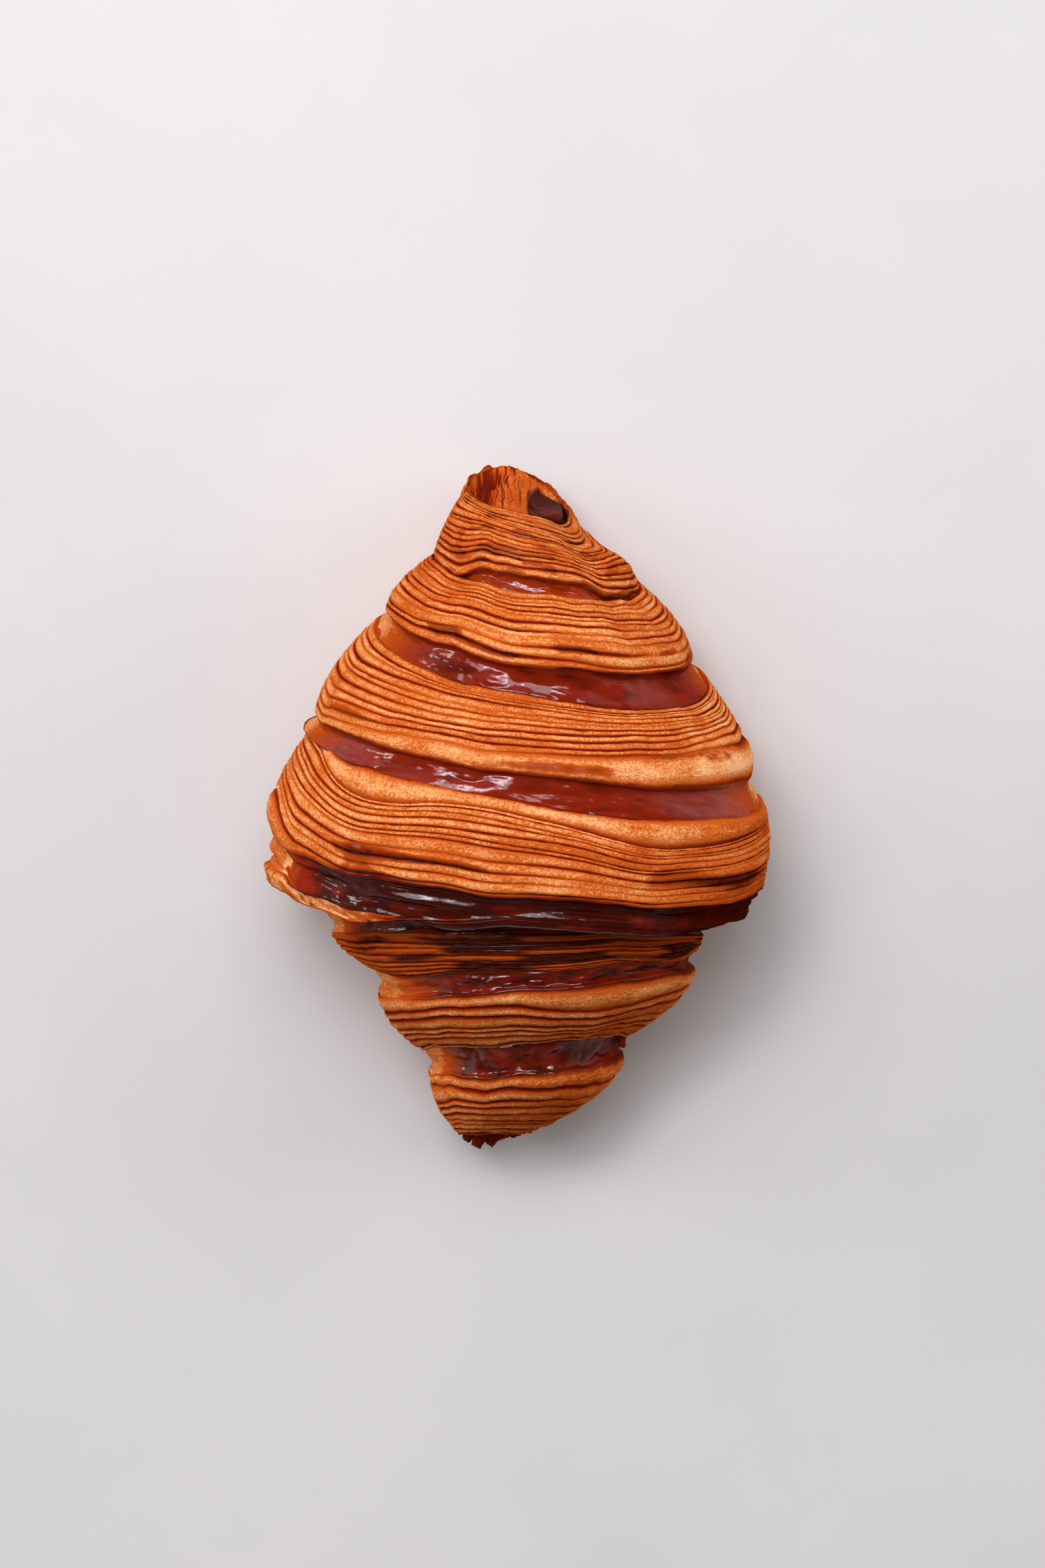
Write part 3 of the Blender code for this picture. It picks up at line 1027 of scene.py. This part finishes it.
# %% [markdown]
# ## The open tip
# The narrow end is open. Inside the first layer one sees the end of the rolled core: a wall
# of pleats, a hollow on its left where the layers have parted, darkened with painted shade,
# and on its right a dark glassy fold of dough. A disc of rings is bent into all of these, by
# where its points lie across the opening and between its near and its far edge.

# %% Pleated end of the core
END_ROWS = 64
HOLLOW = (-6.2, 0.32)  # millimetres across from the middle, share of the way to the far edge
FOLD_APEX = (4.6, 0.55)
FOLD_APEX = (4.6, 0.55)
CORE_REACH = 0.95  # how much of the opening the core fills
PLEATS = (1.5, 0.71)  # millimetres from pleat to pleat, of the broad and of the fine ones
BACK_RINGS = (0.004, 0.5, 0.9)
BACK_DEPTH = 6 * MM


def fold_mask(across, far):
    """1 inside the glassy fold, which widens towards the near edge."""
    width = np.clip((FOLD_APEX[1] - far) / FOLD_APEX[1], 0, 1.2)
    left, right = FOLD_APEX[0] - 2.6 * width, FOLD_APEX[0] + 6.4 * width ** 1.3
    inside = ease((across - left) / 0.5) * ease((right - across) / 0.5)
    return inside * ease((FOLD_APEX[1] - far) / 0.08)


def across_and_far(points, rim):
    """Where points lie across the opening, and how far from its near to its far edge."""
    seen, edge = (place[..., 1] * math.cos(CAMERA_TILT) + place[..., 2] * math.sin(CAMERA_TILT)
                  for place in (points, rim))
    sides = []
    for half in (np.abs(ANGLES) <= math.pi / 2, np.abs(ANGLES) > math.pi / 2):
        order = np.argsort(rim[half, 0])
        sides.append(np.interp(points[..., 0], rim[half, 0][order], edge[half][order]))
    near, far = sides
    return ((points[..., 0] - rim[:, 0].mean()) / MM,
            np.clip((seen - near) / np.maximum(far - near, MM), 0, 1))


def pleats(across, far, shares):
    """The pleats of the core, from -1 in their valleys to 1."""
    bend = 0.35 * patches(shares, (9, 3), 700)
    broad = np.sin(math.tau * (across + bend + 1.6 * (far - 0.5)) / PLEATS[0])
    return 0.5 * broad + 0.5 * np.sin(math.tau * (across + 2 * bend) / PLEATS[1])


def end_values(pleat, fine, core, gap, hollow, fold, far):
    """Point values for the colours of the open tip."""
    burnt = ease((far - 0.66 + 0.14 * fine) / 0.25)
    streaks = np.clip(0.5 - 0.5 * pleat, 0, 1) * (0.75 + 0.5 * fine)
    # painted shade darkens the hollow and the parting gap, and partly the pleat valleys; the
    # far side is darker from burning
    groove = np.clip(1.9 * hollow + 0.75 * gap + (0.95 * streaks * core + 0.80 * burnt)
                     * (1 - fold) + 0.30 * fold, 0, 1)
    return {"groove": groove, "tint": 0.4 * fine, "gloss": 0.6 - 0.35 * fold,
            "glaze": 0.95 * fold + 0.28 * core * (1 - fold) * ease(4 * fine - 1),
            "toast": 0.95 - 0.3 * fold + 0.3 * hollow + 0.9 * burnt}


def open_end():
    shares = np.linspace(1, BACK_RINGS[0], END_ROWS)[:, None]
    rim = ring_points([np.full(COLUMNS, value) for value in MOUTH], ANGLES)
    middle = rim.mean(axis=0)
    flat = middle + (rim - middle) * (CORE_REACH * shares)[..., None]
    across, far = across_and_far(flat, rim)
    hollow = np.exp(-((across - HOLLOW[0]) / 2.3) ** 2 - ((far - HOLLOW[1]) / 0.33) ** 2)
    fold = fold_mask(across, far)
    over_edge = fold * ease((across - 4.5) / 3)
    back_side = on_sides(100, 40)[None]
    rim_row = shares > 0.985
    reach = np.where(rim_row, CORE_REACH, CORE_REACH + 0.10 * over_edge + 0.04 * back_side)
    points = middle + (rim - middle) * (reach * shares)[..., None]
    pleat = pleats(across, far, shares)
    fine = patches(far, (64, 3), 701, around=across / 22 + 0.5)
    parting = 0.93 - 0.18 * bump(138, 36)
    core = ease((parting + 0.02 - shares) / 0.12)
    gap = np.exp(-((shares - parting) / 0.03) ** 2)
    outward = (core * (0.9 + 0.17 * pleat * (1 - fold) + 0.08 * fine + 0.9 * back_side * far)
               - 1.2 * gap - 4.5 * hollow - 0.8 * fold + 1.3 * over_edge) * MM
    outward = np.where(rim_row, 0, outward)
    points[..., 1] += outward
    points[..., 2] += 0.35 * outward
    back = np.stack([middle + (rim - middle) * share - np.array([0, BACK_DEPTH, 0])
                     for share in BACK_RINGS])
    # the hidden back rings get full groove darkness: painted shade behind the disc
    painted_shade_back = np.zeros((len(back), COLUMNS))
    values = {title: np.concatenate([grid, painted_shade_back + (title == "groove")]) for title, grid
              in end_values(pleat, fine, core, gap, hollow, fold, far).items()}
    roll = np.stack([10 * shares * np.cos(ANGLES), 10 * shares * np.sin(ANGLES),
                     700 + 0.2 * across], axis=-1)
    values["roll"] = np.concatenate([roll, roll[:len(back)]])
    return grid_piece("open_end", np.concatenate([points, back]), values)


core_end = open_end()
core_end.data.materials.append(CRUST)
pieces.append((core_end, "crust"))
print(core_end.name, len(core_end.data.polygons), "faces")

# %% [markdown]
# ## Loose leaves
# A few burnt leaves stick out at the dark tip, and one has come off at the lowest glazed
# band. Each starts as a grid that is narrowed and bent, gets its thickness from Solidify and
# its unevenness from Displace.

# %% Leaf from a grid
LEAF_THICKNESS = 0.8 * MM
LEAF_LUMPS = 0.6 * MM


def add_leaf(name, place, size, heading, curl, seed):
    """A torn leaf of crust: size is width and length, heading its turns."""
    bpy.ops.mesh.primitive_grid_add(x_subdivisions=16, y_subdivisions=18, size=1)
    leaf = bpy.context.object
    leaf.name = leaf.data.name = name
    wide, long = (side * MM for side in size)
    wobble = np.random.default_rng(900 + seed)
    for point in leaf.data.vertices:
        across, along = point.co.x * 2, point.co.y + 0.5
        torn = 0.05 * wobble.uniform(-1, 1) if along > 0.95 else 0
        point.co.x = across * wide / 2 * (1 - 0.45 * along ** 2)
        point.co.y = (along + torn) * long
        point.co.z = curl * long * along ** 2 - 0.15 * wide * across ** 2
    bpy.ops.object.shade_smooth()
    leaf.modifiers.new("thickness", "SOLIDIFY").thickness = LEAF_THICKNESS
    bpy.ops.object.modifier_apply(modifier="thickness")
    add_lumps(leaf, 1.6 * MM, LEAF_LUMPS, 50 + seed)
    leaf.rotation_euler = [math.radians(angle) for angle in heading]
    leaf.location = [value * MM for value in place]
    bpy.ops.object.transform_apply(location=True, rotation=True, scale=True)
    return leaf


def give_values(piece, **values):
    """The same point values all over a piece, with its own place as the roll."""
    places = coordinates(piece)
    for title in ("groove", "tint", "glaze", "toast", "gloss"):
        store(piece, title, np.full(len(places), values.get(title, 0.0)))
    store(piece, "roll", places / MM)


# place, size (mm), heading (degrees), curl
BURNT_LEAVES = [
    ((-8.7, -61.9, 9.8), (3.0, 4.4), (-10, 0, 163), 0.10),
    ((-6.4, -62.2, 10.4), (3.6, 5.0), (-6, 10, 160), 0.12),
    ((-2.9, -62.0, 10.2), (4.4, 5.4), (-8, -8, 150), 0.10),
    ((0.2, -61.4, 10.6), (3.2, 3.6), (-6, 6, 158), 0.15),
    ((2.4, -60.6, 10.4), (4.2, 3.4), (-8, -6, 162), 0.10),
    ((-5.0, -61.6, 7.6), (4.6, 4.4), (-14, 5, 172), 0.20),
    ((20.9, -38.5, 24.8), (2.7, 4.4), (2, -50, 177), 0.05),
]
for number, (place, size, heading, curl) in enumerate(BURNT_LEAVES):
    leaf = add_leaf(f"burnt_leaf_{number + 1}", place, size, heading, curl, number)
    give_values(leaf, groove=0.98, toast=1.6, tint=0.2 * number - 0.5)
    leaf.data.materials.append(CRUST)
    pieces.append((leaf, "burnt"))

print(len(BURNT_LEAVES), "burnt leaves")

# %% [markdown]
# ## Table and sky
# The table is off-white with faint clouds. The sky is bright low down and beyond the open
# tip, and dim overhead, so that the glaze that mirrors it looks dark from above.

# %% Table finish
TABLE_COLOURS = (0.70, 0.685, 0.660, 1), (0.655, 0.645, 0.63, 1)


def table_material():
    made, tree, surface = new_material("pale_table")
    place = add_node(tree, "TexCoord").outputs["Object"]
    clouds = remap(tree, noise(tree, place, 6.0, 5.0, 0.55), 0.35, 0.65)
    fill(tree, surface, {"Base Color": mix_colour(tree, clouds, *TABLE_COLOURS),
                         "Roughness": 0.6})
    return made


table_top.data.materials.append(table_material())
print("table finish:", table_top.active_material.name)

# %% Pale sky
SKY_COLOUR = (1.0, 0.98, 0.95, 1)
SKY_LOW = 0.55
SKY_TOP = 0.07


def make_sky():
    sky = bpy.data.worlds.new("sky")
    sky.use_nodes = True
    tree = sky.node_tree
    direction = add_node(tree, "TexCoord").outputs["Generated"]
    split = add_node(tree, "SeparateXYZ", {0: direction}).outputs
    height = remap(tree, split["Z"], 0.15, 0.75, SKY_LOW, SKY_TOP)
    side = add_node(tree, "MapRange",
                    {"Value": split["Y"], "From Min": -1, "From Max": 1, "To Min": 0.55,
                     "To Max": 1.35}).outputs["Result"]
    fill(tree, tree.nodes["Background"],
         {"Color": SKY_COLOUR, "Strength": math_node(tree, "MULTIPLY", height, side)})
    return sky


bpy.context.scene.world = make_sky()

# %% [markdown]
# ## On the body
# Every piece rides on the croissant's one body and stands for its one solid, which is hidden.

# %% Ride and replace
for piece, slot in pieces:
    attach(piece, "root")
    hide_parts("croissant")
